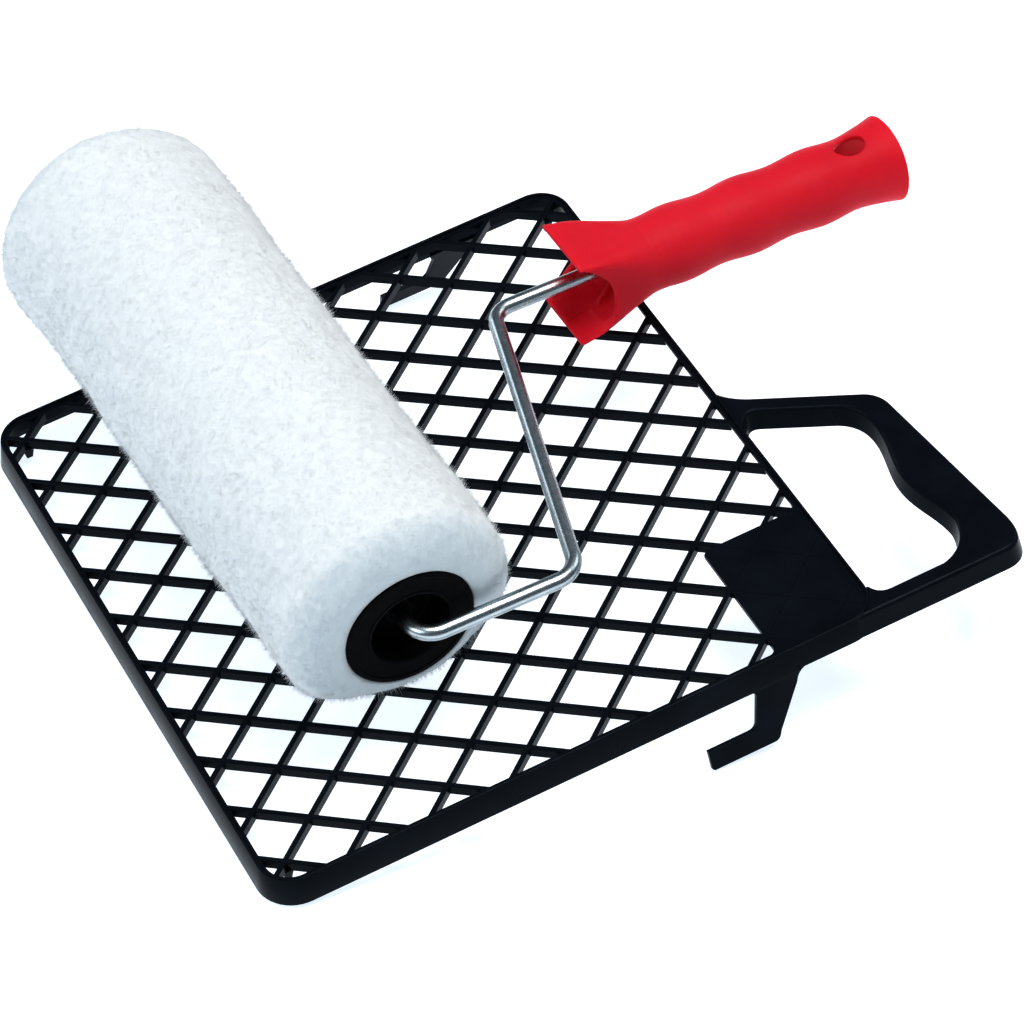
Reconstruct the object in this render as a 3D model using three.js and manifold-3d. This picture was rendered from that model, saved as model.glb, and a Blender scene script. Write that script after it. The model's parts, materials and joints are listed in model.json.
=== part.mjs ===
// Paint scraper grid with a fleece roller resting on it, in millimetres, +Z up.
//
// The grid is one plastic moulding: a diamond lattice inside a flared rim, with a carry handle at one
// end and two splayed hooks underneath that hang it on a bucket. It stands as it does on a table, on
// the lower edge of its left rim and on the tips of the two hooks, so the whole grid leans a little.
// The roller is a fleece sleeve that turns on a bent wire frame with a hollow plastic handle.
import * as THREE from 'three';
import { mergeVertices } from 'three/addons/utils/BufferGeometryUtils.js';
import Module from 'manifold-3d';

const wasm = await Module();
wasm.setup();

// ---------------------------------------------------------------- driving dimensions: grid
const GRID_LENGTH = 244;          // outside of the lip, along X
const GRID_WIDTH = 258.6;         // outside of the lip, along Y
const RIM_RADIUS = 13;            // outside corner radius of the lip
const LIP_HEIGHT = 1.2;           // the lip stands this far above the rib tops (z = 0)
const RIM_DEPTH = 10.5;           // the rim reaches this far below the rib tops
const RIM_FLARE = 0.18;           // outward slope of every moulded wall, mm per mm of depth
const RIM_WALL = 1.4;
const LEDGE_WIDTH = 1.3;          // flat strip inside the rim that the ribs run into
const BAR_DEPTH = 1.5;            // the strip is thinner beside the carry handle
const BAR_END = 22;               // the low right side of the rim ends this far from the corners
const FRONT_STEP_X = 92;          // from here the front skirt is as low as the carry handle's
const RIB_WIDTH = 2;
const RIB_DEPTH = 4.5;
const CELL_LENGTH = 32.1;         // long diagonal of a diamond, along X
const CELL_WIDTH = 26.2;          // short diagonal of a diamond, along Y
const PLATE_LENGTH = 42;          // closed corner plate next to the carry handle
const PLATE_WIDTH = 58.7;
const PLATE_THICKNESS = 1.8;
const PLATE_DROP = 0.3;           // its top lies this far below the rib tops
const POST_SIZE = 4.6;            // square ejector posts under the outermost rib crossings
const POST_BOTTOM = 9.6;
const GAP = 0.3;                  // left between solids that meet

// ---------------------------------------------------------------- driving dimensions: carry handle
const CARRY_TOP = 0.4;
const CARRY_DEPTH = 9.3;
const CARRY_WALL = 2;
const CARRY_REACH = 184;          // outer end, from the middle of the grid
const CARRY_ARM = 7.4;            // width of the two side arms
const GRIP_BULGE = 4.8;           // how far the grip swells into the hand hole

// ---------------------------------------------------------------- driving dimensions: bucket hooks
const HOOK_SPLAY = 0.323;         // outward slope, mm per mm of drop
const HOOK_THICKNESS = 2;
const HOOK_DROP = 22.4;           // from the rim's lower edge to the sole
const HOOK_SLOT_HEIGHT = 14.2;
const HOOK_TIP_X = 45;
const HOOK_STEM_INNER_X = 68;
const HOOK_STEM_OUTER_X = 84.6;

// ---------------------------------------------------------------- driving dimensions: roller
const ROLLER_LENGTH = 251;
const NAP_RADIUS = 41.2;          // fleece, lightly pressed
const NAP_EDGE = 14;              // rounding of the two fleece ends
const TUBE_RADIUS = 24;
const TUBE_WALL = 1.5;
const FLANGE_RADIUS = 25.2;
const FLANGE_THICKNESS = 1.6;     // sits flush in the fleece, against the end of the tube
const WELL_RADIUS = 15.5;
const WELL_DEPTH = 11.7;
const HUB_RISE = 2.5;             // the hub stands this far up from the floor of the well
const WIRE_RADIUS = 3;
const ROLLER_X = -38.9;           // middle of the near end, from the middle of the grid
const ROLLER_Y = -81.3;
const ROLLER_YAW = 1.38;          // degrees, the roller lies slightly across the grid
const FRAME_DIP = 4;              // degrees, the handle end hangs lower than the roller axis

// ---------------------------------------------------------------- driving dimensions: wire and handle
const ARM_OFFSET = -6.6;          // outboard arm, measured along the roller axis
const ARM_REACH = 63.5;
const NECK_REACH = 100.1;
const MOUTH_REACH = 130.3;        // front edge of the handle, from the roller axis
const HANDLE_LENGTH = 144;
const HANDLE_AXIAL = 126.3;       // the handle points at the middle of the roller
const HANDLE_SAG = -1.7;          // handle axis below the plane of the wire
const GRIP_RADIUS = 14.9;
const WAVE_HEIGHT = 0.6;
const WAVE_PITCH = 30.5;
const WAIST = 33;                 // from the mouth to the first finger hollow
const MOUTH_HALF_WIDTH = 14.5;
const MOUTH_HALF_HEIGHT = 20.3;
const BUTT_RADIUS = 16.6;
const HANG_HOLE_REACH = 125.5;    // from the mouth to the middle of the hanging hole
const HANDLE_WALL = 2.4;
const SOCKET_DEPTH = 62;          // hollow butt that takes an extension pole
const NOTCH_DEPTH = 14;

// ---------------------------------------------------------------- materials
function plastic(color, roughness) {
  return new THREE.MeshStandardMaterial({ color, roughness, metalness: 0 });
}
const blackPlastic = plastic(0x101216, 0.38);
const capPlastic = plastic(0x0b0b0e, 0.55);
const redPlastic = plastic(0xdc1f2b, 0.42);
const fleece = plastic(0xf0f5f7, 0.95);
const paperboard = plastic(0xb59b78, 0.8);
const zincWire = new THREE.MeshStandardMaterial({ color: 0xb9c2c6, roughness: 0.22, metalness: 1 });
const clipSteel = new THREE.MeshStandardMaterial({ color: 0x8d9396, roughness: 0.35, metalness: 1 });

// ---------------------------------------------------------------- solid helpers
function toSolid(geometry) {
  const bare = new THREE.BufferGeometry();
  bare.setAttribute('position', geometry.getAttribute('position').clone());
  if (geometry.index) bare.setIndex(geometry.index.clone());
  const merged = mergeVertices(bare, 1e-4);
  const vertProperties = new Float32Array(merged.getAttribute('position').array);
  const index = merged.index.array;
  const triVerts = [];
  for (let i = 0; i < index.length; i += 3) {
    const [a, b, c] = [index[i], index[i + 1], index[i + 2]];
    if (a !== b && b !== c && c !== a) triVerts.push(a, b, c);
  }
  const build = (tris) => new wasm.Manifold(
    new wasm.Mesh({ numProp: 3, vertProperties, triVerts: new Uint32Array(tris) }));
  const solid = build(triVerts);
  if (solid.volume() > 0) return solid;
  const flipped = [];
  for (let i = 0; i < triVerts.length; i += 3) flipped.push(triVerts[i], triVerts[i + 2], triVerts[i + 1]);
  return build(flipped);
}

function toGeometry(solid) {
  const mesh = solid.getMesh();
  const positions = [];
  for (let i = 0; i < mesh.vertProperties.length; i += mesh.numProp) {
    positions.push(mesh.vertProperties[i], mesh.vertProperties[i + 1], mesh.vertProperties[i + 2]);
  }
  const geometry = new THREE.BufferGeometry();
  geometry.setAttribute('position', new THREE.Float32BufferAttribute(positions, 3));
  geometry.setIndex(Array.from(mesh.triVerts));
  geometry.computeVertexNormals();
  return geometry;
}

function named(name, solid, material) {
  const mesh = new THREE.Mesh(toGeometry(solid), material);
  mesh.name = name;
  return mesh;
}

function union(solids) {
  return solids.reduce((sum, next) => sum.add(next));
}

function boxSolid(length, width, height, x, y, z, turn = 0) {
  const geometry = new THREE.BoxGeometry(length, width, height);
  geometry.rotateZ(turn);
  geometry.translate(x, y, z);
  return toSolid(geometry);
}

// A straight prism over an outline in the XY plane.
function prism(shape, bottom, top, curveSegments = 6) {
  const geometry = new THREE.ExtrudeGeometry(shape, {
    depth: top - bottom, bevelEnabled: false, curveSegments });
  geometry.translate(0, 0, bottom);
  return toSolid(geometry);
}

// A moulded prism that widens downwards at the rim's flare: the outline belongs to its top face.
function flaredPrism(shape, bottom, top, curveSegments = 6) {
  const height = top - bottom;
  const geometry = new THREE.ExtrudeGeometry(shape, {
    depth: 1, bevelEnabled: true, bevelSegments: 1, bevelThickness: height,
    bevelSize: height * RIM_FLARE, curveSegments });
  geometry.translate(0, 0, bottom - 1);
  const reach = 4 * GRID_WIDTH;
  const upper = boxSolid(reach, reach, height + 1, 0, 0, bottom + (height + 1) / 2);
  return toSolid(geometry).intersect(upper);
}

function roundedRectangle(halfX, halfY, radius) {
  const shape = new THREE.Shape();
  shape.moveTo(halfX - radius, -halfY);
  shape.absarc(halfX - radius, radius - halfY, radius, -Math.PI / 2, 0);
  shape.absarc(halfX - radius, halfY - radius, radius, 0, Math.PI / 2);
  shape.absarc(radius - halfX, halfY - radius, radius, Math.PI / 2, Math.PI);
  shape.absarc(radius - halfX, radius - halfY, radius, Math.PI, 1.5 * Math.PI);
  return shape;
}

// A ring of the given section swept round a rounded rectangle: a lathe whose quarters are pulled apart.
// The section's x is measured from the corner centres.
function roundedFrame(section, cornerX, cornerY, cornerSteps) {
  const segments = 4 * cornerSteps;
  const geometry = new THREE.LatheGeometry(section, segments, Math.PI / segments);
  geometry.rotateX(Math.PI / 2);
  const position = geometry.getAttribute('position');
  for (let i = 0; i < position.count; i++) {
    position.setX(i, position.getX(i) + Math.sign(position.getX(i)) * cornerX);
    position.setY(i, position.getY(i) + Math.sign(position.getY(i)) * cornerY);
  }
  return toSolid(geometry);
}

function ring(points, segments) {
  const section = points.map(([x, y]) => new THREE.Vector2(x, y));
  return toSolid(new THREE.LatheGeometry([...section, section[0]], segments));
}

// ---------------------------------------------------------------- grid: rim and lattice
const HALF_LENGTH = GRID_LENGTH / 2;
const HALF_WIDTH = GRID_WIDTH / 2;
const LATTICE_INSET = RIM_WALL + GAP - RIM_FLARE * LIP_HEIGHT;

function gridRim() {
  const spread = (LIP_HEIGHT + RIM_DEPTH) * RIM_FLARE;
  const section = [
    new THREE.Vector2(RIM_RADIUS, LIP_HEIGHT),
    new THREE.Vector2(RIM_RADIUS - RIM_WALL, LIP_HEIGHT),
    new THREE.Vector2(RIM_RADIUS - RIM_WALL + spread, -RIM_DEPTH),
    new THREE.Vector2(RIM_RADIUS + spread, -RIM_DEPTH),
    new THREE.Vector2(RIM_RADIUS, LIP_HEIGHT),
  ];
  const frame = roundedFrame(section, HALF_LENGTH - RIM_RADIUS, HALF_WIDTH - RIM_RADIUS, 6);
  const carryBottom = CARRY_TOP - CARRY_DEPTH;
  const frontStep = boxSolid(60, 20, 10, FRONT_STEP_X + 30, -HALF_WIDTH, carryBottom - 5);
  return frame.subtract(besideCarryHandle(RIB_DEPTH)).subtract(frontStep);
}

// Everything below this depth along the right side of the rim, where the skirt is left low.
function besideCarryHandle(depth) {
  const length = GRID_WIDTH - 2 * BAR_END;
  return boxSolid(20, length, 20, HALF_LENGTH, 0, -depth - 10);
}

function insideRim(inset) {
  return roundedRectangle(HALF_LENGTH - inset, HALF_WIDTH - inset, RIM_RADIUS - inset);
}

function ribFamily(direction) {
  const slope = Math.atan2(CELL_WIDTH, CELL_LENGTH);
  const pitch = CELL_LENGTH * Math.sin(slope);
  const reach = HALF_LENGTH * Math.sin(slope) + HALF_WIDTH * Math.cos(slope);
  const count = Math.floor(reach / pitch);
  const ribs = [];
  for (let i = -count; i <= count; i++) {
    const turn = direction * slope;
    const x = -Math.sin(turn) * i * pitch;
    const y = Math.cos(turn) * i * pitch;
    ribs.push(boxSolid(2 * GRID_WIDTH, RIB_WIDTH, RIB_DEPTH, x, y, -RIB_DEPTH / 2, turn));
  }
  return union(ribs);
}

function gridLattice() {
  const area = prism(insideRim(LATTICE_INSET), -RIB_DEPTH, 0);
  const open = prism(insideRim(LATTICE_INSET + LEDGE_WIDTH), -RIB_DEPTH - 1, 1);
  const ledge = area.subtract(open).subtract(besideCarryHandle(BAR_DEPTH));
  const reach = prism(insideRim(LATTICE_INSET + LEDGE_WIDTH / 2), -RIB_DEPTH - 1, 1);
  const plate = boxSolid(2 * PLATE_LENGTH, 2 * PLATE_WIDTH, PLATE_THICKNESS,
    HALF_LENGTH, -HALF_WIDTH, -PLATE_DROP - PLATE_THICKNESS / 2);
  const middle = ribFamily(1).add(ribFamily(-1)).add(plate).intersect(reach);
  return ledge.add(middle).simplify(0.01);
}

function cornerPost(signX, signY) {
  const x = signX * 7 * CELL_LENGTH / 2;
  const y = signY * 9 * CELL_WIDTH / 2;
  const top = -RIB_DEPTH - GAP;
  return boxSolid(POST_SIZE, POST_SIZE, top + POST_BOTTOM, x, y, (top - POST_BOTTOM) / 2);
}

// ---------------------------------------------------------------- grid: carry handle
const ARM_SLOPE = 0.557;          // the rear arm runs in at this slope, mm per mm

function carryOutline() {
  const shape = new THREE.Shape();
  const front = -HALF_WIDTH;
  shape.moveTo(HALF_LENGTH - 20, front);
  shape.lineTo(CARRY_REACH - 10, front);
  shape.quadraticCurveTo(CARRY_REACH, front, CARRY_REACH - 0.7, front + 14);
  shape.lineTo(CARRY_REACH - 8.6, front + 86);
  shape.quadraticCurveTo(CARRY_REACH - 9.4, front + 92.5, CARRY_REACH - 15, front + 95.8);
  shape.lineTo(HALF_LENGTH + 10, front + 95.8 + ARM_SLOPE * (CARRY_REACH - HALF_LENGTH - 25));
  shape.quadraticCurveTo(HALF_LENGTH + 1.5, front + 121.5, HALF_LENGTH - 1, front + 129);
  shape.lineTo(HALF_LENGTH - 20, front + 129);
  return shape;
}

function handHole() {
  const hole = new THREE.Path();
  const front = -HALF_WIDTH + CARRY_ARM;
  const rimSide = HALF_LENGTH - 12;
  const gripX = CARRY_REACH - 18;
  const gripFront = front + 16;
  const gripRear = front + 72;
  hole.moveTo(rimSide, front + 5);
  hole.lineTo(HALF_LENGTH + 1.4, front + 5);
  hole.quadraticCurveTo(HALF_LENGTH + 3, front, HALF_LENGTH + 8, front);
  hole.lineTo(gripX - 14, front);
  hole.bezierCurveTo(gripX - 7, front + 1.5, gripX - 1, front + 7, gripX, gripFront);
  for (let i = 1; i <= 10; i++) {
    const along = i / 10;
    const swell = GRIP_BULGE * Math.sin(Math.PI * along) ** 2;
    hole.lineTo(gripX - swell - 0.8 * along, gripFront + along * (gripRear - gripFront));
  }
  hole.quadraticCurveTo(gripX - 1, gripRear + 10, gripX - 9, gripRear + 15);
  hole.lineTo(HALF_LENGTH + 10.4, gripRear + 15 + ARM_SLOPE * (gripX - 9 - HALF_LENGTH - 10.4));
  hole.quadraticCurveTo(HALF_LENGTH + 4, gripRear + 32.5, HALF_LENGTH + 1.4, gripRear + 25);
  hole.lineTo(rimSide, gripRear + 25);
  return hole;
}

function carryHandle() {
  const bottom = CARRY_TOP - CARRY_DEPTH;
  const outline = carryOutline();
  outline.holes.push(handHole());
  const block = flaredPrism(outline, bottom, CARRY_TOP);
  const keepOut = flaredPrism(insideRim(-GAP), -RIM_DEPTH - 1, LIP_HEIGHT);
  const loop = block.subtract(keepOut);
  return loop.subtract(prism(hollowOutline(), bottom - 1, CARRY_TOP - CARRY_WALL));
}

// Hollow underside of the grip: the moulding is a channel there, open downwards.
function hollowOutline() {
  const front = -HALF_WIDTH;
  const inner = CARRY_REACH - 18 + 2;
  const shape = new THREE.Shape();
  shape.moveTo(inner, front + 22);
  shape.lineTo(CARRY_REACH - 4.4, front + 14);
  shape.lineTo(CARRY_REACH - 11.4, front + 84);
  shape.lineTo(inner - 0.5, front + 84);
  shape.lineTo(inner - 3.4, front + 60);
  shape.lineTo(inner - 3.4, front + 46);
  return shape;
}

// ---------------------------------------------------------------- grid: bucket hooks
function hookOutline() {
  const stretch = Math.sqrt(1 + HOOK_SPLAY ** 2);
  const sole = -HOOK_DROP * stretch;
  const slot = -HOOK_SLOT_HEIGHT * stretch;
  const shape = new THREE.Shape();
  shape.moveTo(HOOK_STEM_INNER_X - 1.5, 2);
  shape.lineTo(HOOK_STEM_INNER_X - 1.5, -GAP);
  shape.quadraticCurveTo(HOOK_STEM_INNER_X, -GAP, HOOK_STEM_INNER_X, -1.8);
  shape.lineTo(HOOK_STEM_INNER_X - 2.6, slot + 2.6);
  shape.quadraticCurveTo(HOOK_STEM_INNER_X - 3.2, slot, HOOK_STEM_INNER_X - 6, slot);
  shape.lineTo(HOOK_TIP_X, slot);
  shape.lineTo(HOOK_TIP_X, sole + 0.8);
  shape.lineTo(HOOK_TIP_X + 0.8, sole);
  shape.lineTo(HOOK_STEM_OUTER_X - 14, sole);
  shape.quadraticCurveTo(HOOK_STEM_OUTER_X - 11.5, sole, HOOK_STEM_OUTER_X - 10.6, sole + 3.4);
  shape.lineTo(HOOK_STEM_OUTER_X, -3.6);
  shape.quadraticCurveTo(HOOK_STEM_OUTER_X + 0.8, -0.6, HOOK_STEM_OUTER_X + 4, -GAP);
  shape.lineTo(HOOK_STEM_OUTER_X + 4, 2);
  return shape;
}

function bucketHook(side) {
  const geometry = new THREE.ExtrudeGeometry(hookOutline(), {
    depth: HOOK_THICKNESS, bevelEnabled: false, curveSegments: 4 });
  geometry.rotateX(Math.PI / 2);
  if (side < 0) geometry.translate(0, HOOK_THICKNESS, 0);
  geometry.rotateX(side * Math.atan(HOOK_SPLAY));
  const edge = HALF_WIDTH + (LIP_HEIGHT + RIM_DEPTH) * RIM_FLARE;
  geometry.translate(0, side * edge, -RIM_DEPTH);
  const reach = 2 * HOOK_DROP;
  const below = boxSolid(GRID_LENGTH, 2 * GRID_WIDTH, reach, 0, 0, -RIM_DEPTH - GAP - reach / 2);
  return toSolid(geometry).intersect(below);
}

// ---------------------------------------------------------------- roller sleeve, turned about its Y axis
const TUBE_SETBACK = FLANGE_THICKNESS + GAP;

function napCover() {
  const inner = TUBE_RADIUS + GAP;
  const pocket = FLANGE_RADIUS + GAP;
  const points = [[inner, TUBE_SETBACK], [pocket, TUBE_SETBACK], [pocket, 0]];
  for (let i = 0; i <= 5; i++) {
    const turn = i * Math.PI / 10;
    points.push([NAP_RADIUS - NAP_EDGE * (1 - Math.sin(turn)), NAP_EDGE * (1 - Math.cos(turn))]);
  }
  const far = points.slice().reverse().map(([r, y]) => [r, ROLLER_LENGTH - y]);
  return ring([...points, ...far], 40);
}

function coreTube() {
  const bore = TUBE_RADIUS - TUBE_WALL;
  const farEnd = ROLLER_LENGTH - TUBE_SETBACK;
  return ring([[bore, TUBE_SETBACK], [TUBE_RADIUS, TUBE_SETBACK], [TUBE_RADIUS, farEnd], [bore, farEnd]], 32);
}

function endCap() {
  const plug = TUBE_RADIUS - TUBE_WALL - GAP;
  const bore = WIRE_RADIUS + GAP;
  const wall = 1.6;
  const hub = 6.2;
  const hubFace = WELL_DEPTH - HUB_RISE;
  const wellBack = WELL_DEPTH + 2;
  return ring([
    [FLANGE_RADIUS, 0], [FLANGE_RADIUS, FLANGE_THICKNESS], [plug, FLANGE_THICKNESS], [plug, 20],
    [plug - wall, 20], [plug - wall, FLANGE_THICKNESS + wall], [WELL_RADIUS + wall, FLANGE_THICKNESS + wall],
    [WELL_RADIUS - 0.9, wellBack], [hub, wellBack], [hub, 28], [bore, 28], [bore, hubFace], [hub, hubFace],
    [hub, WELL_DEPTH], [WELL_RADIUS - 2.5, WELL_DEPTH], [WELL_RADIUS, 0]], 32);
}

function farEndCap() {
  const geometry = toGeometry(endCap());
  geometry.rotateX(Math.PI);
  geometry.translate(0, ROLLER_LENGTH, 0);
  return toSolid(geometry);
}

// ---------------------------------------------------------------- wire frame, in the roller's XY plane
const WIRE_END = ROLLER_LENGTH - 2.6;
const WIRE_TAIL = MOUTH_REACH + 56;

function wireFrame() {
  const at = (axial, reach) => new THREE.Vector3(reach, axial, 0);
  const path = new THREE.CurvePath();
  const corners = [at(WIRE_END, 0), at(ARM_OFFSET, 0), at(ARM_OFFSET, ARM_REACH),
    at(HANDLE_AXIAL, NECK_REACH), at(HANDLE_AXIAL, WIRE_TAIL)];
  const bends = [10, 11, 9];
  let last = corners[0];
  for (let i = 1; i < corners.length - 1; i++) {
    const back = corners[i - 1].clone().sub(corners[i]).normalize();
    const ahead = corners[i + 1].clone().sub(corners[i]).normalize();
    const setback = bends[i - 1] / Math.tan(back.angleTo(ahead) / 2);
    const from = corners[i].clone().addScaledVector(back, setback);
    const to = corners[i].clone().addScaledVector(ahead, setback);
    path.add(new THREE.LineCurve3(last, from));
    path.add(new THREE.QuadraticBezierCurve3(from, corners[i], to));
    last = to;
  }
  path.add(new THREE.LineCurve3(last, corners[corners.length - 1]));
  return sweptWire(path);
}

// Sections are set close together in the bends and far apart on the straights.
function sweptWire(path) {
  const points = [];
  for (const curve of path.curves) {
    const steps = curve.isLineCurve3 ? 1 : 6;
    for (let i = 0; i < steps; i++) points.push(curve.getPoint(i / steps));
  }
  points.push(path.curves[path.curves.length - 1].getPoint(1));
  const outline = new THREE.Shape();
  outline.absarc(0, 0, WIRE_RADIUS, 0, 2 * Math.PI);
  const route = new Polyline(points);
  const geometry = new THREE.ExtrudeGeometry(outline, {
    steps: points.length - 1, extrudePath: route, curveSegments: 10, bevelEnabled: false });
  return toSolid(geometry);
}

// A curve whose parameter steps from point to point, so a sweep puts one section at each point.
class Polyline extends THREE.Curve {
  constructor(points) {
    super();
    this.points = points;
  }
  getPoint(t) {
    const place = t * (this.points.length - 1);
    const index = Math.min(Math.floor(place + 1e-9), this.points.length - 2);
    return this.points[index].clone().lerp(this.points[index + 1], place - index);
  }
  getPointAt(t) {
    return this.getPoint(t);
  }
  getTangentAt(t) {
    const place = Math.round(t * (this.points.length - 1));
    const before = this.points[Math.max(place - 1, 0)];
    const after = this.points[Math.min(place + 1, this.points.length - 1)];
    return after.clone().sub(before).normalize();
  }
  getTangent(t) {
    return this.getTangentAt(t);
  }
}

function retainingClip() {
  const bore = WIRE_RADIUS + 0.25;
  const seat = ROLLER_LENGTH - WELL_DEPTH + HUB_RISE + GAP;
  return ring([[bore, seat], [6.8, seat], [6.8, seat + 0.8], [bore + 1.6, seat + 2.6],
    [bore, seat + 2.6]], 24);
}

// ---------------------------------------------------------------- handle, turned about the roller's X axis
function gripRadius(along) {
  const wave = -WAVE_HEIGHT * Math.cos(2 * Math.PI * (along - WAIST) / WAVE_PITCH);
  const bell = Math.max(0, (along - (HANDLE_LENGTH - 22)) / 22);
  return GRIP_RADIUS + wave * (1 - bell) + (BUTT_RADIUS - GRIP_RADIUS) * bell ** 2;
}

// Half width and half height of the section, blending from the flat mouth to the round grip.
function sectionScale(along) {
  const blend = THREE.MathUtils.smoothstep(along, 2, WAIST);
  const round = gripRadius(Math.max(along, WAIST));
  return {
    halfWidth: THREE.MathUtils.lerp(MOUTH_HALF_WIDTH, round, blend),
    halfHeight: THREE.MathUtils.lerp(MOUTH_HALF_HEIGHT, round, blend),
    power: THREE.MathUtils.lerp(7, 2.1, blend),
  };
}

function handleGrip() {
  const stations = [0, 6, 12, 18, 24, 30];
  for (let along = 36; along < HANDLE_LENGTH - 24; along += 7.6) stations.push(along);
  stations.push(HANDLE_LENGTH - 18, HANDLE_LENGTH - 11, HANDLE_LENGTH - 5, HANDLE_LENGTH - 1.4,
    HANDLE_LENGTH);
  const outer = stations.map((along) => [1, along, 0]);
  outer[outer.length - 1][2] = 1.2;
  const socket = [0, -12, -30, -SOCKET_DEPTH + 2].map((step) => [1, HANDLE_LENGTH + step, HANDLE_WALL]);
  const bore = WIRE_RADIUS + 0.3;
  const wireBore = [[0, HANDLE_LENGTH - SOCKET_DEPTH, bore], [0, WAIST - 4, bore]];
  const mouth = [24, 18, 12, 6, 0].map((along) => [1, along, HANDLE_WALL]);
  const rows = [...outer, ...socket, ...wireBore, ...mouth];
  const section = rows.map(([, along], row) => new THREE.Vector2(10 + row, along));
  const geometry = new THREE.LatheGeometry([...section, section[0]], 32);
  const position = geometry.getAttribute('position');
  for (let i = 0; i < position.count; i++) {
    const radius = Math.hypot(position.getX(i), position.getZ(i));
    const row = rows[Math.round(radius - 10) % rows.length];
    const cosine = position.getX(i) / radius;
    const sine = position.getZ(i) / radius;
    const place = sectionPoint(row, cosine, sine);
    position.setXYZ(i, place.x, position.getY(i), place.z);
  }
  geometry.rotateZ(-Math.PI / 2);
  geometry.translate(MOUTH_REACH, HANDLE_AXIAL, HANDLE_SAG);
  return toSolid(geometry).subtract(sideNotch()).subtract(hangHole());
}

function sectionPoint([kind, along, inset], cosine, sine) {
  if (kind === 0) return { x: cosine * inset, z: sine * inset - HANDLE_SAG };
  const { halfWidth, halfHeight, power } = sectionScale(along);
  const bend = (Math.abs(cosine) ** power + Math.abs(sine) ** power) ** (-1 / power);
  return { x: cosine * bend * (halfWidth - inset), z: sine * bend * (halfHeight - inset) };
}

// The side walls of the mouth are cut back in a rounded notch, which leaves an upper and a lower flap.
function sideNotch() {
  const outline = new THREE.Shape();
  const half = MOUTH_HALF_HEIGHT - 1.6;
  outline.moveTo(-2, -half - 2);
  outline.lineTo(0, -half);
  outline.quadraticCurveTo(NOTCH_DEPTH * 1.45, -half * 0.5, NOTCH_DEPTH, half * 0.15);
  outline.quadraticCurveTo(NOTCH_DEPTH * 0.75, half * 0.6, 0, half);
  outline.lineTo(-2, half + 2);
  const geometry = new THREE.ExtrudeGeometry(outline, {
    depth: 3 * MOUTH_HALF_WIDTH, bevelEnabled: false, curveSegments: 5 });
  geometry.rotateX(Math.PI / 2);
  geometry.translate(MOUTH_REACH, HANDLE_AXIAL + 1.5 * MOUTH_HALF_WIDTH, HANDLE_SAG);
  return toSolid(geometry);
}

function hangHole() {
  const outline = new THREE.Shape();
  outline.absellipse(MOUTH_REACH + HANG_HOLE_REACH, HANDLE_AXIAL, 6.4, 4.8, 0, 2 * Math.PI);
  return prism(outline, HANDLE_SAG - 2 * GRIP_RADIUS, HANDLE_SAG + 2 * GRIP_RADIUS, 8);
}

// ---------------------------------------------------------------- assembly
const grid = new THREE.Group();
grid.add(named('grid_lattice', gridLattice(), blackPlastic));
grid.add(named('grid_rim', gridRim(), blackPlastic));
grid.add(named('grid_carry_handle', carryHandle(), blackPlastic));
grid.add(named('bucket_hook_front', bucketHook(-1), blackPlastic));
grid.add(named('bucket_hook_rear', bucketHook(1), blackPlastic));
grid.add(named('corner_post_front_left', cornerPost(-1, -1), blackPlastic));
grid.add(named('corner_post_front_right', cornerPost(1, -1), blackPlastic));
grid.add(named('corner_post_rear_left', cornerPost(-1, 1), blackPlastic));
grid.add(named('corner_post_rear_right', cornerPost(1, 1), blackPlastic));

const roller = new THREE.Group();
roller.rotation.order = 'ZYX';
roller.rotation.z = THREE.MathUtils.degToRad(ROLLER_YAW);
roller.rotation.y = THREE.MathUtils.degToRad(FRAME_DIP);
roller.position.set(ROLLER_X, ROLLER_Y, LIP_HEIGHT + GAP + NAP_RADIUS);
roller.add(named('nap_cover', napCover(), fleece));
roller.add(named('core_tube', coreTube(), paperboard));
roller.add(named('end_cap_near', endCap(), capPlastic));
roller.add(named('end_cap_far', farEndCap(), capPlastic));
roller.add(named('retaining_clip', retainingClip(), clipSteel));
roller.add(named('wire_frame', wireFrame(), zincWire));
roller.add(named('handle_grip', handleGrip(), redPlastic));

// The grid rests on the lower edge of its left rim and on the tips of its hooks.
const RIM_SPREAD = (LIP_HEIGHT + RIM_DEPTH) * RIM_FLARE;
const LEAN = Math.atan2(HOOK_DROP, HOOK_TIP_X + HALF_LENGTH + RIM_SPREAD);
const leaning = new THREE.Group();
leaning.rotation.y = -LEAN;
leaning.add(grid, roller);

const group = new THREE.Group();
group.add(leaning);
group.updateMatrixWorld(true);
const extent = new THREE.Box3().setFromObject(group, true);
const middle = extent.getCenter(new THREE.Vector3());
leaning.position.set(-middle.x, -middle.y, -extent.min.z);

export default group;
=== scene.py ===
import json
import math
import random

import bmesh
import bpy
from mathutils import Matrix, Vector, noise


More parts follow.
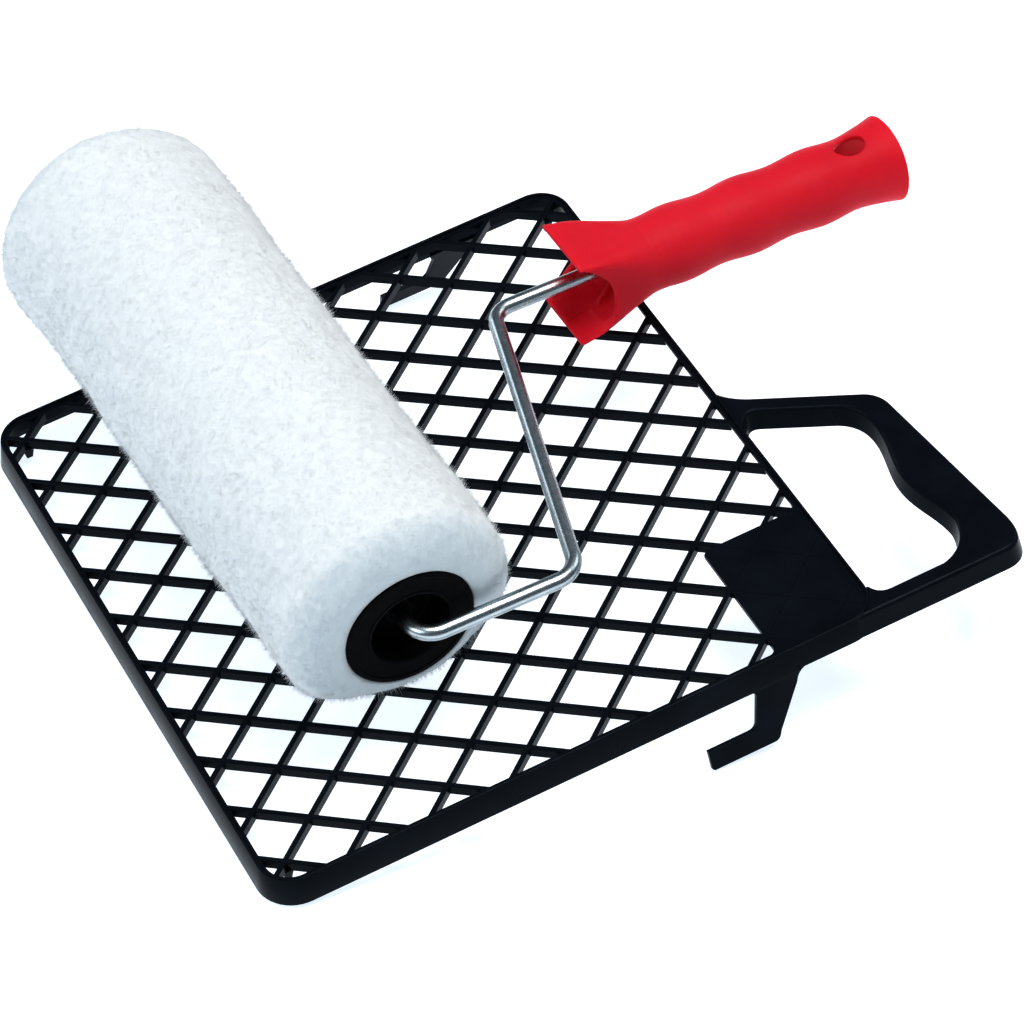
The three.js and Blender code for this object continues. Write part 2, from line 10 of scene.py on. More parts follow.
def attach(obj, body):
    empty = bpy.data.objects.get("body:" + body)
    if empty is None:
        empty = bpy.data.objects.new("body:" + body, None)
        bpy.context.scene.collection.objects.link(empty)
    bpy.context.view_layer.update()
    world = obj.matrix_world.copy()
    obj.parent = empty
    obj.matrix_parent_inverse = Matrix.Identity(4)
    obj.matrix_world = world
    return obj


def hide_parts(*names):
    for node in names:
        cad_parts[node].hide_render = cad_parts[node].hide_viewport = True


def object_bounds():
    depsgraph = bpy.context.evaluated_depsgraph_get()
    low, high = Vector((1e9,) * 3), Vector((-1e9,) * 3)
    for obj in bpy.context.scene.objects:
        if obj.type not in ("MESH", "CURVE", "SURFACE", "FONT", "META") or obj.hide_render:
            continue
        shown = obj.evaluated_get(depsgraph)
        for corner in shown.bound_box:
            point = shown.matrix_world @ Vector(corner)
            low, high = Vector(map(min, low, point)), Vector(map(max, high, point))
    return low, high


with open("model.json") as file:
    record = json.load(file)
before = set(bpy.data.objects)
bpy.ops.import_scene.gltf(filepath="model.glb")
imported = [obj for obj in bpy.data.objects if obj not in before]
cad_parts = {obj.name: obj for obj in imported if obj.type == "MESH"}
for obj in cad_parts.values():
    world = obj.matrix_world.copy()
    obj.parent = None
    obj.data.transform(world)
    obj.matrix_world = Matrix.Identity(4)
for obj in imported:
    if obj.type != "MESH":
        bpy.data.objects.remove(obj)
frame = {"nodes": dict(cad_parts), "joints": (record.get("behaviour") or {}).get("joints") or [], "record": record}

cad_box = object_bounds()
MM = 0.001

# ---------------------------------------------------------------- grid dimensions, in millimetres
HALF_LENGTH = 122.0
HALF_WIDTH = 129.3
CORNER_RADIUS = 13.0
LIP_TOP = 1.2
RIM_BOTTOM = -10.5
RIM_WALL = 1.4
LIP_WIDTH = 1.1
LEDGE_WIDTH = 1.3
FLARE = 0.18
RIB_WIDTH = 2.0
RIB_DEPTH = 4.5
RIB_CHAMFER = 0.28
RIB_DRAFT = 0.1
RIB_FOOT_EDGE = 0.2
RIBS_EACH_SIDE = 8
CELL_LENGTH = 32.1
CELL_WIDTH = 26.2
PLATE_LENGTH = 42.0
PLATE_WIDTH = 58.7
PLATE_TOP = -0.2
PLATE_THICKNESS = 1.8
PLATE_EDGE = 0.15
POST_SIZE = 4.6
POST_TIP = 2.6
POST_BOTTOM = -9.6
POST_EDGE = 0.3
CARRY_TOP = 0.4
CARRY_BOTTOM = -8.9
CARRY_REACH = 184.0
CARRY_ARM = 7.4
CARRY_WALL = 2.0
CARRY_ARM_SLOPE = 0.557
GRIP_INSET = 18.0
GRIP_FRONT = 16.0
GRIP_REAR = 72.0
GRIP_BULGE = 4.8
GRIP_SOFTENING = 5.0
OUTER_FILLET = 1.8
HOLE_FILLET = 1.5
PARTING_STEP = 0.3
PARTING_HEIGHT = 0.12
BAR_WIDTH = 1.2
BAR_DEPTH = 1.5
BAR_END = 22.0
FRONT_STEP_X = 86.0
HOOK_SPLAY = 0.323
HOOK_THICKNESS = 2.0
HOOK_EDGE = 0.2
HOOK_DROP = 22.4
HOOK_SLOT = 14.2
HOOK_TIP = 45.0
STEM_INNER = 68.0
STEM_OUTER = 84.6

# ---------------------------------------------------------------- roller dimensions, in millimetres
ROLLER_LENGTH = 251.0
FLANGE_RADIUS = 25.2
FLANGE_THICKNESS = 1.6
WELL_RADIUS = 15.5
WELL_DEPTH = 11.7
HUB_RADIUS = 6.2
HUB_RISE = 2.5
HUB_LENGTH = 28.0
PLUG_LENGTH = 20.0
PLUG_WALL = 1.6
TUBE_INNER = 22.5
WIRE_RADIUS = 3.0
WIRE_CHAMFER = 0.8
WIRE_BENDS = (9.5, 11.0, 9.5)
ARM_OFFSET = -6.6
ARM_REACH = 63.5
NECK_REACH = 100.1
WIRE_END = ROLLER_LENGTH - 2.6
MOUTH_REACH = 130.3
WIRE_TAIL = MOUTH_REACH + 56.0
HANDLE_AXIAL = 126.3
HANDLE_SAG = -2.0
HANDLE_LENGTH = 142.8
HANDLE_DROOP = 0.6
HANDLE_WALL = 2.4
GRIP_RADIUS = 14.6
WAVE_HEIGHT = 0.6
WAVE_PITCH = 30.5
WAIST = 33.0
MOUTH_HALF_WIDTH = 15.2
MOUTH_OFFSET = 0.8
MOUTH_HALF_HEIGHT = 20.3
MOUTH_LIP = 1.8
MOUTH_POWER = 22.0
GRIP_POWER = 2.1
BUTT_RADIUS = 17.2
BELL_LENGTH = 22.0
BELL_POWER = 2.6
SOCKET_DEPTH = 62.0
SOCKET_END = HANDLE_LENGTH - SOCKET_DEPTH
SKIN_VOXEL = 0.46
SKIN_SMOOTHING = 2
SKIN_SHARE_KEPT = 0.62
HANG_HOLE_REACH = 125.5
HANG_HOLE_HALF_LENGTH = 6.4
HANG_HOLE_HALF_WIDTH = 4.8
HANG_HOLE_TAPER = 0.16


# ---------------------------------------------------------------- frames of the grid and of the roller
def local_frame(origin, x_axis, y_axis, z_axis):
    """Matrix from millimetres in a local frame to metres in the shared frame."""
    turn = Matrix((x_axis, y_axis, z_axis)).transposed().to_4x4()
    return Matrix.Translation(origin) @ turn @ Matrix.Scale(MM, 4)


mounts = {mount["name"]: mount for mount in frame["record"]["mounts"]}
spin = next(joint for joint in frame["joints"] if joint["name"] == "sleeve_spin")

grid_up = Vector(mounts["scraper_face"]["axis"]).normalized()
grid_across = Vector((0, 1, 0))
grid_along = grid_across.cross(grid_up)
grid_origin = Vector(mounts["scraper_face"]["pos_m"]) - 2 * CELL_LENGTH * MM * grid_along
GRID = local_frame(grid_origin, grid_along, grid_across, grid_up)

roller_axis = Vector(spin["axis"]).normalized()
handle_axis = Vector(mounts["pole_socket_face"]["axis"]).normalized()
ROLLER = local_frame(Vector(spin["pos_m"]), handle_axis, roller_axis, handle_axis.cross(roller_axis))


# ---------------------------------------------------------------- camera, in degrees and metres
CAMERA_TURN = 27.68
CAMERA_DROP = 44.97
CAMERA_ROLL = 1.10
CAMERA_DISTANCE = 1.6427
CAMERA_AIM = Vector((-0.0325, -0.0484, -0.0028))
SENSOR_MM = 36.0
LENS_MM = 158.2


def make_camera():
    """The photograph's viewing angle: from the near left, 45 degrees down, through a long lens."""
    turn, drop, roll = (math.radians(angle) for angle in (CAMERA_TURN, CAMERA_DROP, CAMERA_ROLL))
    ahead = Vector((math.sin(turn) * math.cos(drop), math.cos(turn) * math.cos(drop), -math.sin(drop)))
    low, high = cad_box
    aim = (low + high) / 2 + CAMERA_AIM
    data = bpy.data.cameras.new("camera")
    data.sensor_width = SENSOR_MM
    data.lens = LENS_MM
    camera = bpy.data.objects.new("camera", data)
    bpy.context.scene.collection.objects.link(camera)
    facing = ahead.to_track_quat("-Z", "Y").to_matrix().to_4x4()
    place = Matrix.Translation(aim - CAMERA_DISTANCE * ahead)
    camera.matrix_world = place @ facing @ Matrix.Rotation(roll, 4, "Z")
    bpy.context.scene.camera = camera


make_camera()


# ---------------------------------------------------------------- mesh helpers
def clean(mesh):
    """Faces turned outwards on a closed mesh."""
    work = bmesh.new()
    work.from_mesh(mesh)
    bmesh.ops.recalc_face_normals(work, faces=work.faces)
    work.to_mesh(mesh)
    work.free()
    return mesh


def loft(loops, closed=False):
    """Walls between neighbouring loops of equal length, with end caps unless the loops close a ring."""
    count = len(loops[0])
    spans = len(loops) if closed else len(loops) - 1
    faces = []
    for i in range(spans):
        here, there = i * count, (i + 1) % len(loops) * count
        faces += [(here + j, here + (j + 1) % count, there + (j + 1) % count, there + j)
                  for j in range(count)]
    if not closed:
        faces.append(tuple(range(count)))
        faces.append(tuple(range(spans * count, (spans + 1) * count)))
    mesh = bpy.data.meshes.new("loft")
    mesh.from_pydata([tuple(p) for loop in loops for p in loop], [], faces)
    return clean(mesh)


def joined(meshes):
    """One mesh holding several separate bodies."""
    work = bmesh.new()
    for mesh in meshes:
        work.from_mesh(mesh)
        bpy.data.meshes.remove(mesh)
    mesh = bpy.data.meshes.new("joined")
    work.to_mesh(mesh)
    work.free()
    return mesh


def evaluated(obj):
    """The object's mesh with its modifiers applied; the object itself is removed."""
    view = bpy.context.evaluated_depsgraph_get()
    mesh = bpy.data.meshes.new_from_object(obj.evaluated_get(view))
    bpy.data.objects.remove(obj)
    return mesh


def temporary(mesh):
    """An object in the scene that only lives until its modifiers are applied."""
    obj = bpy.data.objects.new("temporary", mesh)
    bpy.context.scene.collection.objects.link(obj)
    return obj


def combined(base, tool, operation):
    """UNION, DIFFERENCE or INTERSECT of two closed meshes."""
    base_object, tool_object = temporary(base), temporary(tool)
    change = base_object.modifiers.new("change", "BOOLEAN")
    change.operation = operation
    change.solver = "MANIFOLD"
    change.object = tool_object
    bpy.context.view_layer.update()
    mesh = evaluated(base_object)
    bpy.data.objects.remove(tool_object)
    return mesh


def shade(mesh, sharp_angle):
    """Smooth shading with edges sharper than the angle, in degrees, left crisp."""
    mesh.polygons.foreach_set("use_smooth", [True] * len(mesh.polygons))
    mesh.set_sharp_from_angle(angle=math.radians(sharp_angle))


def piece(name, mesh, material, body, replaced):
    """A finished piece that rides on a body in place of CAD nodes."""
    mesh.name = name
    mesh.materials.clear()
    mesh.materials.append(material)
    obj = bpy.data.objects.new(name, mesh)
    bpy.context.scene.collection.objects.link(obj)
    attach(obj, body)
    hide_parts(*replaced)
    return obj


# ---------------------------------------------------------------- outline helpers
def bezier(controls, t):
    """Point at t on the Bezier curve with these control points."""
    points = list(controls)
    while len(points) > 1:
        points = [a.lerp(b, t) for a, b in zip(points, points[1:])]
    return points[0]


def outline(start, moves, steps=8):
    """Points along an outline: a move of one point is straight, one of two or three is a Bezier curve."""
    points = [Vector(start)]
    for move in moves:
        controls = [points[-1]] + [Vector(p) for p in move]
        parts = 1 if len(move) == 1 else steps
        points += [bezier(controls, (k + 1) / parts) for k in range(parts)]
    return points


def smoothstep(value, low, high):
    """0 below low, 1 above high and an even S-curve between them."""
    t = min(max((value - low) / (high - low), 0.0), 1.0)
    return t * t * (3 - 2 * t)


def grown(points, distance):
    """An anticlockwise outline moved outwards, or inwards when the distance is negative."""
    moved = []
    for i, here in enumerate(points):
        back = (here - points[i - 1]).normalized()
        ahead = (points[(i + 1) % len(points)] - here).normalized()
        side = Vector((back.y + ahead.y, -back.x - ahead.x))
        moved.append(here + side * (2 * distance / side.length_squared))
    return moved


def at_height(points, z):
    """A flat outline as a loop at this height."""
    return [Vector((p.x, p.y, z)) for p in points]


def full_turn(sides):
    """Evenly spaced angles once round a circle."""
    return [2 * math.pi * k / sides for k in range(sides)]


def rounded_rectangle(half_x, half_y, radius, steps=10):
    """Anticlockwise outline with round corners, centred on the origin."""
    points = []
    for quarter, (sx, sy) in enumerate(((1, 1), (-1, 1), (-1, -1), (1, -1))):
        centre = Vector((sx * (half_x - radius), sy * (half_y - radius)))
        for k in range(steps + 1):
            turn = (quarter + k / steps) * math.pi / 2
            points.append(centre + radius * Vector((math.cos(turn), math.sin(turn))))
    return points


def rim_outline(inset, steps=10):
    """Rounded rectangle this far inside the outer edge of the lip, or outside it when negative."""
    return rounded_rectangle(HALF_LENGTH - inset, HALF_WIDTH - inset, CORNER_RADIUS - inset, steps)


def flare_at(z):
    """How far the moulded walls have spread at this height, measured from the top of the lip."""
    return FLARE * (LIP_TOP - z)


# ---------------------------------------------------------------- grid: rim
def rim_ring():
    """Rim with its rounded lip, the ledge inside it and the flared skirt below.

    The profile holds (distance outside the lip's edge, height) with small roundings at its corners.
    """
    under = -RIB_DEPTH
    inner_ledge = -(RIM_WALL + LEDGE_WIDTH)
    outer_foot = flare_at(RIM_BOTTOM)
    profile = [
        (-0.32, LIP_TOP), (-0.12, LIP_TOP - 0.08), (0.02, LIP_TOP - 0.3),
        (outer_foot - 0.06, RIM_BOTTOM + 0.3),
        (outer_foot - 0.1, RIM_BOTTOM + 0.08), (outer_foot - 0.3, RIM_BOTTOM),
        (outer_foot - RIM_WALL + 0.25, RIM_BOTTOM), (outer_foot - RIM_WALL, RIM_BOTTOM + 0.25),
        (flare_at(under) - RIM_WALL + 0.06, under - 0.35), (flare_at(under) - RIM_WALL - 0.3, under),
        (inner_ledge + 0.2, under), (inner_ledge, under + 0.2),
        (inner_ledge, -0.25), (inner_ledge + 0.25, 0.0),
        (-LIP_WIDTH - 0.12, 0.0), (-LIP_WIDTH, 0.12), (-LIP_WIDTH + 0.06, LIP_TOP - 0.3),
        (-LIP_WIDTH + 0.14, LIP_TOP - 0.08), (-LIP_WIDTH + 0.34, LIP_TOP),
    ]
    return loft([at_height(rim_outline(-out, steps=12), z) for out, z in profile], closed=True)


def block(low, high):
    """A plain box between two corners, used only to cut with."""
    corners = ((low[0], low[1]), (high[0], low[1]), (high[0], high[1]), (low[0], high[1]))
    return loft([[Vector((x, y, z)) for x, y in corners] for z in (low[2], high[2])])


def rim():
    """The ring with its skirt left low beside the carry handle and in line with it at the front."""
    ring = rim_ring()
    past, floor = 10.0, -20.0
    span = HALF_WIDTH - BAR_END
    bar_side = HALF_LENGTH - BAR_WIDTH
    skirt = block((bar_side, -span, floor), (HALF_LENGTH + past, span, -RIB_DEPTH))
    ledge = block((HALF_LENGTH - past, -span, floor), (bar_side, span, -BAR_DEPTH))
    front = block((FRONT_STEP_X, -HALF_WIDTH - past, floor),
                  (HALF_LENGTH + 2 * past, CORNER_RADIUS + 1 - HALF_WIDTH, CARRY_BOTTOM))
    for cutter in (skirt, ledge, front):
        ring = combined(ring, cutter, "DIFFERENCE")
    return ring


# ---------------------------------------------------------------- grid: lattice
def inside_rim(point, inset):
    """Whether the point lies inside the rim's outline, moved in by the inset."""
    reach = CORNER_RADIUS - inset
    over_x = abs(point.x) - (HALF_LENGTH - CORNER_RADIUS)
    over_y = abs(point.y) - (HALF_WIDTH - CORNER_RADIUS)
    if over_x > 0 and over_y > 0:
        return math.hypot(over_x, over_y) < reach
    return max(over_x, over_y) < reach


def rib_ends(foot, along, inset):
    """Where a rib line enters and leaves the area inside the rim."""
    step, count = 0.25, 1000
    inside = [k * step for k in range(-count, count + 1) if inside_rim(foot + k * step * along, inset)]
    return foot + inside[0] * along, foot + inside[-1] * along


def ribs(direction):
    """All ribs of one slope, each with a chamfered top and slightly drafted sides."""
    slope = direction * math.atan2(CELL_WIDTH, CELL_LENGTH)
    along = Vector((math.cos(slope), math.sin(slope)))
    across = Vector((-along.y, along.x))
    pitch = CELL_LENGTH * abs(along.y)
    half, foot, edge = RIB_WIDTH / 2, RIB_WIDTH / 2 - RIB_DRAFT, RIB_FOOT_EDGE
    profile = [(-half + RIB_CHAMFER, 0.0), (half - RIB_CHAMFER, 0.0), (half, -RIB_CHAMFER),
               (foot, edge - RIB_DEPTH), (foot - edge, -RIB_DEPTH), (edge - foot, -RIB_DEPTH),
               (-foot, edge - RIB_DEPTH), (-half, -RIB_CHAMFER)]
    bodies = []
    for i in range(-RIBS_EACH_SIDE, RIBS_EACH_SIDE + 1):
        ends = rib_ends(i * pitch * across, along, RIM_WALL)
        bodies.append(loft([[Vector((*(end + side * across), z)) for side, z in profile] for end in ends]))
    return joined(bodies)


def corner_plate():
    """Closed corner beside the carry handle, with a fillet and a chamfer where it leaves the rim."""
    right, front = HALF_LENGTH - RIM_WALL, RIM_WALL - HALF_WIDTH
    left, rear = HALF_LENGTH - PLATE_LENGTH, PLATE_WIDTH - HALF_WIDTH
    corner = CORNER_RADIUS - RIM_WALL
    pull = 0.45 * corner
    ledge, fillet, chamfer = LEDGE_WIDTH, 3.4, 1.8
    shape = outline((left - fillet, front + ledge), [
        [(left - fillet, front)], [(right - corner, front)],
        [(right - pull, front), (right, front + pull), (right, front + corner)],
        [(right, rear + fillet)], [(right - ledge, rear + fillet)],
        [(right - ledge, rear), (right - ledge - fillet, rear)],
        [(left + chamfer, rear)], [(left, rear - chamfer)], [(left, front + ledge + fillet)],
        [(left, front + ledge), (left - fillet, front + ledge)]])[:-1]
    return loft([at_height(grown(shape, -PLATE_EDGE), PLATE_TOP), at_height(shape, PLATE_TOP - PLATE_EDGE),
                 at_height(shape, PLATE_TOP - PLATE_THICKNESS)])


def corner_posts():
    """Tapered ejector posts under the four outermost crossings of the ribs."""
    rounding = 0.5
    levels = [(POST_SIZE / 2, 0.5 - RIB_DEPTH), (POST_TIP / 2, POST_BOTTOM + POST_EDGE),
              (POST_TIP / 2 - POST_EDGE, POST_BOTTOM)]
    bodies = []
    for sx in (-1, 1):
        for sy in (-1, 1):
            centre = Vector((sx * 3.5 * CELL_LENGTH, sy * 4.5 * CELL_WIDTH))
            bodies.append(loft([at_height([centre + p for p in rounded_rectangle(half, half, rounding, 3)], z)
                                for half, z in levels]))
    return joined(bodies)


# ---------------------------------------------------------------- grid: carry handle
def carry_outline():
    """Upper outline of the carry handle, which runs on into the rim."""
    front = -HALF_WIDTH
    corner, root = front + 95.8, front + 129
    return outline((HALF_LENGTH - 20, front), [
        [(CARRY_REACH - 10, front)], [(CARRY_REACH, front), (CARRY_REACH - 0.7, front + 14)],
        [(CARRY_REACH - 8.6, front + 86)], [(CARRY_REACH - 9.4, front + 92.5), (CARRY_REACH - 15, corner)],
        [(HALF_LENGTH + 10, corner + CARRY_ARM_SLOPE * (CARRY_REACH - HALF_LENGTH - 25))],
        [(HALF_LENGTH + 1.5, front + 121.5), (HALF_LENGTH - 1, root)],
        [(HALF_LENGTH - 20, root)]], steps=12)


def hand_hole_outline():
    """Upper outline of the hand hole, whose grip side swells towards the fingers."""
    front = -HALF_WIDTH + CARRY_ARM
    grip = CARRY_REACH - GRIP_INSET
    grip_front, grip_rear = front + GRIP_FRONT, front + GRIP_REAR
    rim_side, rear_x = HALF_LENGTH - 4, HALF_LENGTH + 10.4
    steps = 24
    shape = outline((rim_side, front + 5), [
        [(HALF_LENGTH + 1.4, front + 5)], [(HALF_LENGTH + 3, front), (HALF_LENGTH + 8, front)],
        [(grip - 14, front)], [(grip - 7, front + 1.5), (grip - 1, front + 7), (grip, grip_front)]], steps=12)
    for k in range(1, steps + 1):
        along = k / steps
        swell = GRIP_BULGE * math.sin(math.pi * along) ** 2
        shape.append(Vector((grip - swell - 0.8 * along, grip_front + along * (grip_rear - grip_front))))
    return shape + outline(shape[-1], [
        [(grip - 1, grip_rear + 10), (grip - 9, grip_rear + 15)],
        [(rear_x, grip_rear + 15 + CARRY_ARM_SLOPE * (grip - 9 - rear_x))],
        [(HALF_LENGTH + 4, grip_rear + 32.5), (HALF_LENGTH + 1.4, grip_rear + 25)],
        [(rim_side, grip_rear + 25)]], steps=12)[1:]


def rounded_top(shape, fillet, side, softness=None):
    """Loops down a flared wall of the carry handle from its rounded upper edge.

    Side is 1 for the outer wall and -1 for the hole. Softness widens the rounding from place to place.
    """
    softness = softness or [0.0] * len(shape)
    steps = 8
    loops = []
    for k in range(steps + 1):
        turn = k / steps * math.pi / 2
        back, drop = 1 - math.sin(turn), 1 - math.cos(turn)
        narrow = grown(shape, -side * fillet * back)
        wide = grown(shape, -side * (fillet + GRIP_SOFTENING) * back)
        loops.append([Vector((*near.lerp(far, soft), CARRY_TOP - fillet * drop * (1 + 0.8 * soft)))
                      for near, far, soft in zip(narrow, wide, softness)])
    spread = FLARE * (CARRY_TOP - fillet - CARRY_BOTTOM)
    if side < 0:
        edge = grown(shape, PARTING_STEP)
        loops.append([Vector((p.x, p.y, above.z - PARTING_HEIGHT)) for p, above in zip(edge, loops[-1])])
        spread -= PARTING_STEP
    loops.append(at_height(grown(shape, side * spread), CARRY_BOTTOM))
    return loops


def grip_softness(point):
    """1 along the swollen grip side of the hand hole, 0 round the rest of it."""
    along = (point.y + HALF_WIDTH - CARRY_ARM - GRIP_FRONT) / (GRIP_REAR - GRIP_FRONT)
    near_grip = smoothstep(point.x, CARRY_REACH - 32, CARRY_REACH - 22)
    return near_grip * smoothstep(along, -0.15, 0.35) * (1 - smoothstep(along, 0.85, 1.3))


def carry_handle():
    """Flared loop with rounded edges, open underneath as a channel between its two skirts."""
    handle = loft(rounded_top(carry_outline(), OUTER_FILLET, 1))
    hole = hand_hole_outline()
    spread = FLARE * (CARRY_TOP - CARRY_BOTTOM)
    wall = rounded_top(hole, HOLE_FILLET, -1, [grip_softness(p) for p in hole])
    cutter = [[p + Vector((0, 0, 1)) for p in wall[0]]] + wall
    cutter.append(at_height(grown(hole, -spread), CARRY_BOTTOM - 1))
    handle = combined(handle, loft(cutter), "DIFFERENCE")
    channel = grown(carry_outline(), -CARRY_WALL)
    island = grown(hole, CARRY_WALL)
    under = CARRY_TOP - CARRY_WALL
    pocket = loft([at_height(channel, under), at_height(grown(channel, spread), CARRY_BOTTOM - 1)])
    island = loft([at_height(island, under + 1), at_height(grown(island, -spread), CARRY_BOTTOM - 2)])
    handle = combined(handle, combined(pocket, island, "DIFFERENCE"), "DIFFERENCE")
    middle = RIM_WALL / 2
    core = loft([at_height(rim_outline(middle - flare_at(z)), z) for z in (LIP_TOP + 1, RIM_BOTTOM - 1)])
    return combined(handle, core, "DIFFERENCE")


# ---------------------------------------------------------------- grid: bucket hooks
def hook_outline():
    """Side view of a hook, measured down its splayed stem from the foot of the rim."""
    stretch = math.hypot(1, HOOK_SPLAY)
    sole, slot = -HOOK_DROP * stretch, -HOOK_SLOT * stretch
    carry = CARRY_BOTTOM - RIM_BOTTOM
    return outline((STEM_INNER - 1.5, carry + 1.2), [
        [(STEM_INNER - 1.5, 0.0)], [(STEM_INNER, 0.0), (STEM_INNER, -1.8)],
        [(STEM_INNER - 2.6, slot + 2.6)], [(STEM_INNER - 3.2, slot), (STEM_INNER - 6, slot)],
        [(HOOK_TIP, slot)], [(HOOK_TIP, sole + 0.8)], [(HOOK_TIP + 0.8, sole)],
        [(STEM_OUTER - 14, sole)], [(STEM_OUTER - 11.5, sole), (STEM_OUTER - 10.6, sole + 3.4)],
        [(STEM_OUTER, -3.2)], [(STEM_OUTER + 1.0, 0.6), (STEM_OUTER + 5, carry)],
        [(STEM_OUTER + 5, carry + 1.2)]], steps=6)


def bucket_hooks():
    """The two hooks, splayed outwards from the foot of the front and of the rear rim."""
    shape = hook_outline()
    levels = [(-HOOK_EDGE, 0.0), (0.0, HOOK_EDGE), (0.0, HOOK_THICKNESS - HOOK_EDGE),
              (-HOOK_EDGE, HOOK_THICKNESS)]
    bodies = []
    for side in (-1, 1):
        hook = loft([[Vector((p.x, -side * depth, p.y)) for p in grown(shape, grow)]
                     for grow, depth in levels])
        foot = side * (HALF_WIDTH + flare_at(RIM_BOTTOM))
        hook.transform(Matrix.Translation((0, foot, RIM_BOTTOM))
                       @ Matrix.Rotation(side * math.atan(HOOK_SPLAY), 4, "X"))
        bodies.append(hook)
    return joined(bodies)


def grid_moulding():
    """The whole grid as the single moulding it is."""
    mesh = rim()
    for part in (ribs(1), ribs(-1), corner_plate(), corner_posts(), carry_handle(), bucket_hooks()):
        mesh = combined(mesh, part, "UNION")
    mesh.transform(GRID)
    shade(mesh, 30)
    return mesh


# ---------------------------------------------------------------- roller: end caps
def lathe(profile, segments=96):
    """Closed profile of (radius, place along the roller) turned about the roller's axis."""
    return loft([[Vector((r * math.cos(turn), y, r * math.sin(turn))) for r, y in profile]
                 for turn in full_turn(segments)], closed=True)


def end_cap(far):
    """Flange, conical well with its hub, and the plug that grips the tube.

    The profile holds (radius, depth from the flange's face) with small roundings at its corners.
    """
    plug, bore, back = TUBE_INNER - 0.3, WIRE_RADIUS + 0.3, WELL_DEPTH + 2
    plug_bore, behind_flange = plug - PLUG_WALL, 2 * FLANGE_THICKNESS
    hub_face = WELL_DEPTH - HUB_RISE
    profile = [
        (FLANGE_RADIUS - 0.5, 0.0), (FLANGE_RADIUS - 0.15, 0.15), (FLANGE_RADIUS, 0.5),
        (FLANGE_RADIUS, FLANGE_THICKNESS), (plug, FLANGE_THICKNESS),
        (plug, PLUG_LENGTH - 0.6), (plug - 0.6, PLUG_LENGTH), (plug_bore, PLUG_LENGTH),
        (plug_bore, behind_flange), (WELL_RADIUS + 1.6, behind_flange), (WELL_RADIUS - 0.9, back),
        (HUB_RADIUS, back), (HUB_RADIUS, HUB_LENGTH), (bore, HUB_LENGTH),
        (bore, hub_face + 0.4), (bore + 0.4, hub_face), (HUB_RADIUS - 0.5, hub_face),
        (HUB_RADIUS, hub_face + 0.5), (HUB_RADIUS + 0.1, WELL_DEPTH - 0.5), (HUB_RADIUS + 0.6, WELL_DEPTH),
        (WELL_RADIUS - 3.3, WELL_DEPTH), (WELL_RADIUS - 2.5, WELL_DEPTH - 0.7),
        (WELL_RADIUS - 0.3, 0.9), (WELL_RADIUS - 0.05, 0.25), (WELL_RADIUS + 0.45, 0.0),
        (WELL_RADIUS + 1.2, 0.0), (WELL_RADIUS + 1.5, 0.25),
        (FLANGE_RADIUS - 2.3, 0.25), (FLANGE_RADIUS - 2.0, 0.0),
    ]
    if far:
        profile = [(r, ROLLER_LENGTH - y) for r, y in profile]
    mesh = lathe(profile)
    mesh.transform(ROLLER)
    shade(mesh, 35)
    return mesh


# ---------------------------------------------------------------- roller: wire
def bent_route(corners, radii):
    """Points and directions along straight runs joined by circular bends."""
    route = [(corners[0], (corners[1] - corners[0]).normalized())]
    for before, corner, after, radius in zip(corners, corners[1:], corners[2:], radii):
        arriving, leaving = (corner - before).normalized(), (after - corner).normalized()
        bend = arriving.angle(leaving)
        start = corner - radius * math.tan(bend / 2) * arriving
        steps = max(8, round(math.degrees(bend) / 5))
        towards = (leaving - arriving.dot(leaving) * arriving).normalized()
        for k in range(steps + 1):
            turn = bend * k / steps
            place = start + radius * (math.sin(turn) * arriving + (1 - math.cos(turn)) * towards)
            route.append((place, math.cos(turn) * arriving + math.sin(turn) * towards))
    route.append((corners[-1], (corners[-1] - corners[-2]).normalized()))
    return route


def wire_frame():
    """Bent wire in the roller's XY plane, from the chamfered axle end to the tang in the handle."""
    corners = [Vector(p) for p in ((0, WIRE_END, 0), (0, ARM_OFFSET, 0), (ARM_REACH, ARM_OFFSET, 0),
                                   (NECK_REACH, HANDLE_AXIAL, 0), (WIRE_TAIL, HANDLE_AXIAL, 0))]
    route = bent_route(corners, WIRE_BENDS)
    first, first_way = route[0]
    last, last_way = route[-1]
    tip_radius = WIRE_RADIUS - WIRE_CHAMFER
    sections = [(first, first_way, tip_radius), (first + WIRE_CHAMFER * first_way, first_way, WIRE_RADIUS)]
    sections += [(place, way, WIRE_RADIUS) for place, way in route[1:-1]]
    sections += [(last - WIRE_CHAMFER * last_way, last_way, WIRE_RADIUS), (last, last_way, tip_radius)]
    up, turns = Vector((0, 0, 1)), full_turn(40)
    loops = []
    for place, way, radius in sections:
        side = way.cross(up)
        loops.append([place + radius * (math.cos(turn) * side + math.sin(turn) * up) for turn in turns])
    mesh = loft(loops)
    mesh.transform(ROLLER)
    shade(mesh, 35)
    return mesh


# ---------------------------------------------------------------- roller: handle
def grip_radius(along):
    """Radius of the round grip, with its finger waves and the bell at the butt."""
    wave = -WAVE_HEIGHT * math.cos(2 * math.pi * (along - WAIST) / WAVE_PITCH)
    bell = max(0.0, (along - (HANDLE_LENGTH - BELL_LENGTH)) / BELL_LENGTH)
    return GRIP_RADIUS + wave * (1 - bell) + (BUTT_RADIUS - GRIP_RADIUS) * bell ** BELL_POWER


